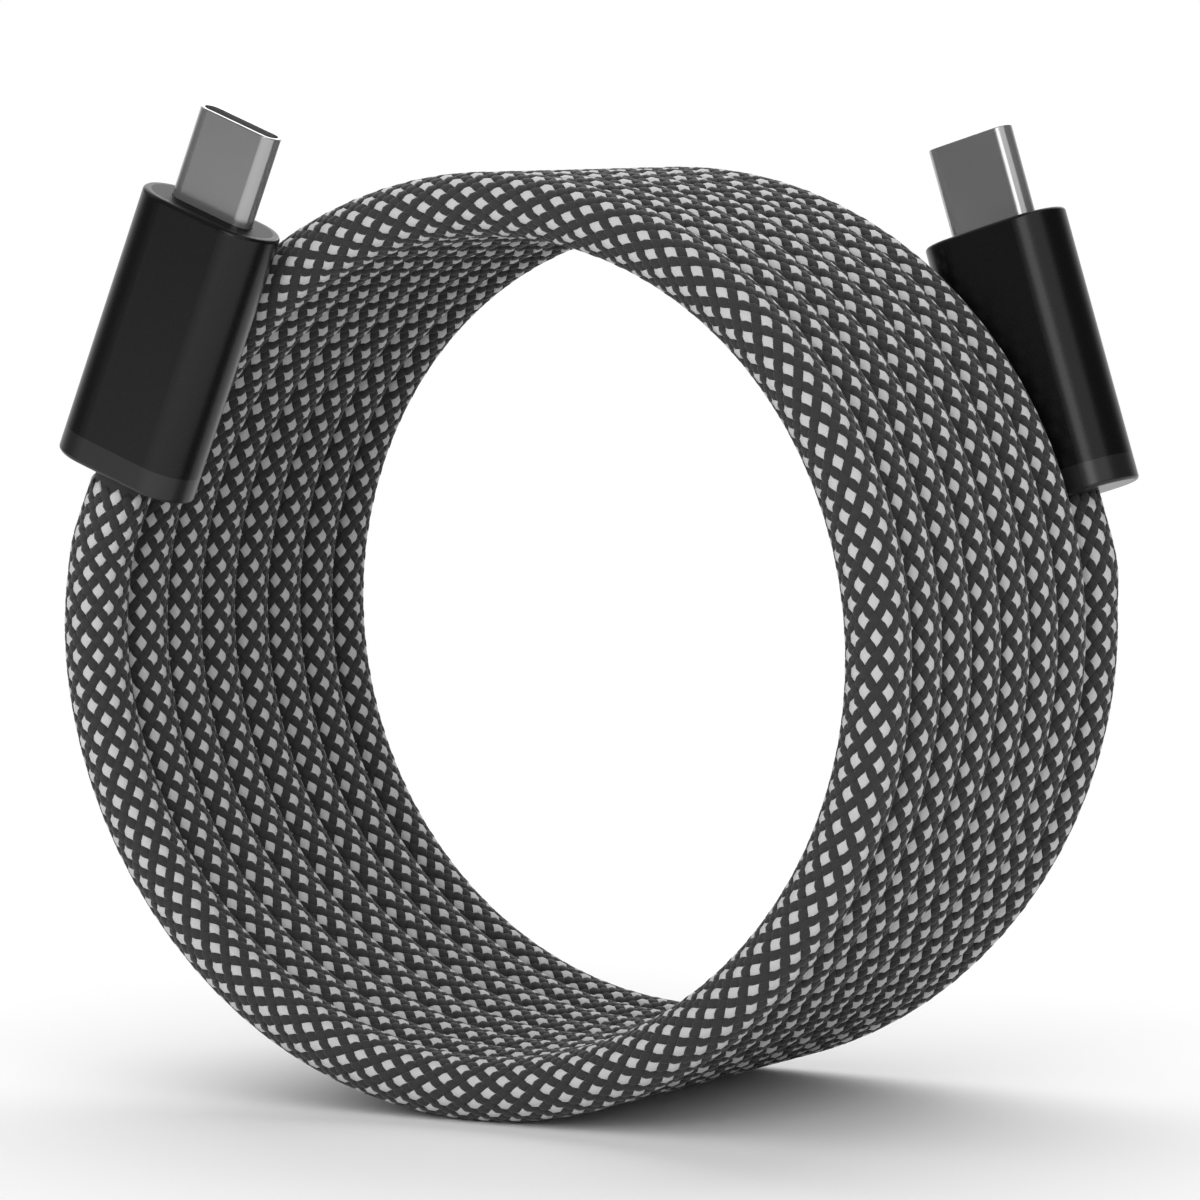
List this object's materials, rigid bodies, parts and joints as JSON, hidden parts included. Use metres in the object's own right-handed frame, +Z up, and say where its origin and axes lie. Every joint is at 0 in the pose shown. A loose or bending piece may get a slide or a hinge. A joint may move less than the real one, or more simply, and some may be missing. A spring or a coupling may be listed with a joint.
{
  "type": "charging cable",
  "caption": "Braided charging cable wound into an upright coil of touching turns, with a slim metal-sleeved reversible plug standing at each end.",
  "frame": {"origin": "middle of the footprint on the floor, under the upright coil", "axes": "+Z up, the coil's axis along Y, front plug towards -Y and -X, back plug towards +Y and +X"},
  "size_m": [0.0844, 0.0534, 0.0881],
  "materials": {
    "braid": "braided textile sleeve, dark net over light base",
    "sleeve": "black anodised, fine satin",
    "cap": "satin moulded",
    "nose": "smooth moulded",
    "moulding": "moulded filler",
    "shield": "drawn sheet",
    "crimp": "pressed sheet",
    "jacket": "smooth jacket",
    "red_insulation": "extruded",
    "black_insulation": "extruded",
    "signal_insulation": "extruded",
    "card": "solder mask",
    "chip": "moulded package",
    "capacitor": "sintered body",
    "shell": "satin drawn steel",
    "carrier": "moulded",
    "contacts": "gold plated",
    "latch": "stamped sheet"
  },
  "bodies": {
    "root": {"cable_coil": "braid", "housing_sleeve_a": "sleeve", "tail_cap_a": "cap", "nose_plate_a": "nose", "inner_mold_a": "moulding", "shield_upper_a": "shield", "shield_lower_a": "shield", "crimp_ring_a": "crimp", "cable_end_a": "jacket", "power_wire_a": "red_insulation", "ground_wire_a": "black_insulation", "signal_wires_a": "signal_insulation", "circuit_card_a": "card", "marker_chip_a": "chip", "capacitors_a": "capacitor", "connector_shell_a": "shell", "contact_carrier_a": "carrier", "upper_contacts_a": "contacts", "lower_contacts_a": "contacts", "latch_frame_a": "latch", "ground_springs_a": "latch", "housing_sleeve_b": "sleeve", "tail_cap_b": "cap", "nose_plate_b": "nose", "inner_mold_b": "moulding", "shield_upper_b": "shield", "shield_lower_b": "shield", "crimp_ring_b": "crimp", "cable_end_b": "jacket", "power_wire_b": "red_insulation", "ground_wire_b": "black_insulation", "signal_wires_b": "signal_insulation", "circuit_card_b": "card", "marker_chip_b": "chip", "capacitors_b": "capacitor", "connector_shell_b": "shell", "contact_carrier_b": "carrier", "upper_contacts_b": "contacts", "lower_contacts_b": "contacts", "latch_frame_b": "latch", "ground_springs_b": "latch"}
  },
  "joints": []
}
